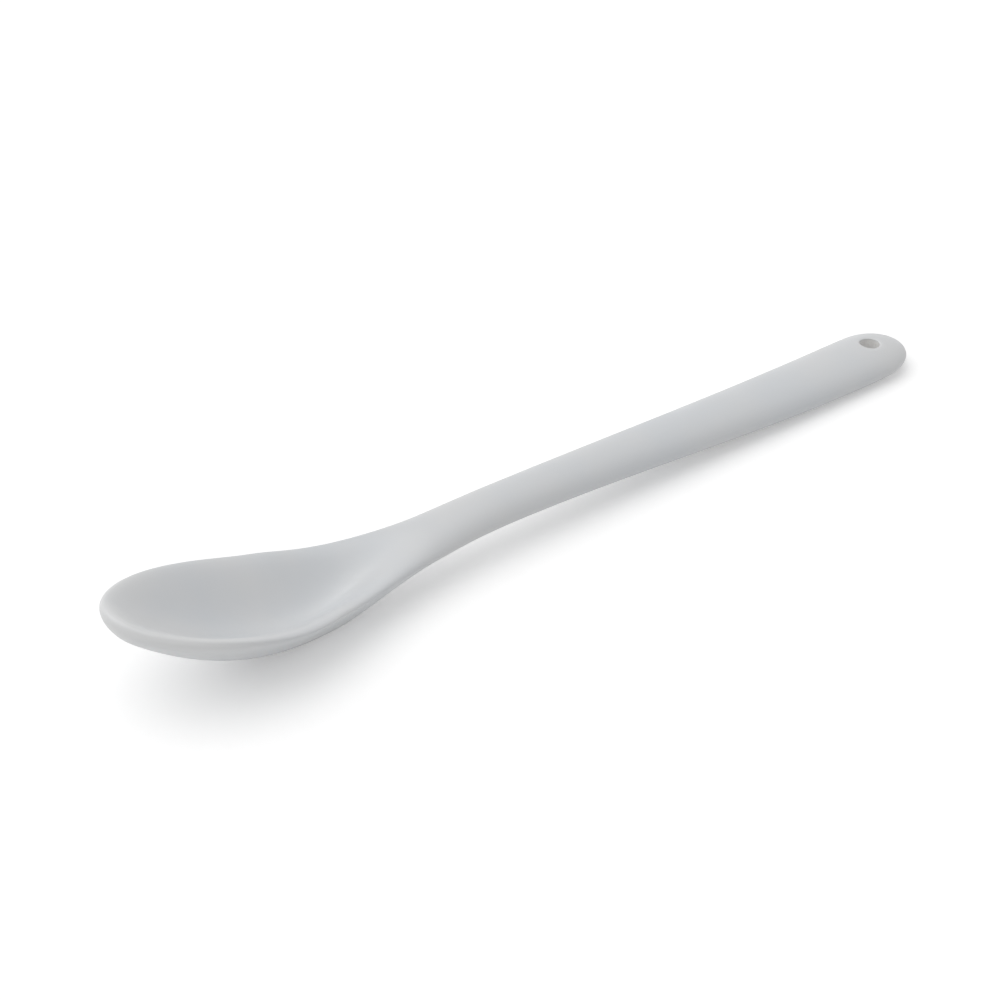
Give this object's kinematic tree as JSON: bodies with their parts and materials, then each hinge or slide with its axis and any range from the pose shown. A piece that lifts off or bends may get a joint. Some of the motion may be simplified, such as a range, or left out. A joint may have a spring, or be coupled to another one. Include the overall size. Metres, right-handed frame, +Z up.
{
  "type": "relish spoon",
  "caption": "Small white glazed porcelain serving spoon with an egg-shaped dish, an arched neck and a flat oval handle with a hanging hole near its end.",
  "frame": {"origin": "on the table under the middle of the spoon's length and width, at the level of the bare foot and heel that it lies on", "axes": "+X from the tip of the bowl to the end of the handle, +Z up out of the dish, +Y across the spoon"},
  "size_m": [0.14, 0.0222, 0.0159],
  "materials": {
    "porcelain": "matte bisque",
    "glaze": "gloss"
  },
  "bodies": {
    "root": {"bowl": "porcelain", "handle": "porcelain", "glaze_coat": "glaze"}
  },
  "joints": []
}
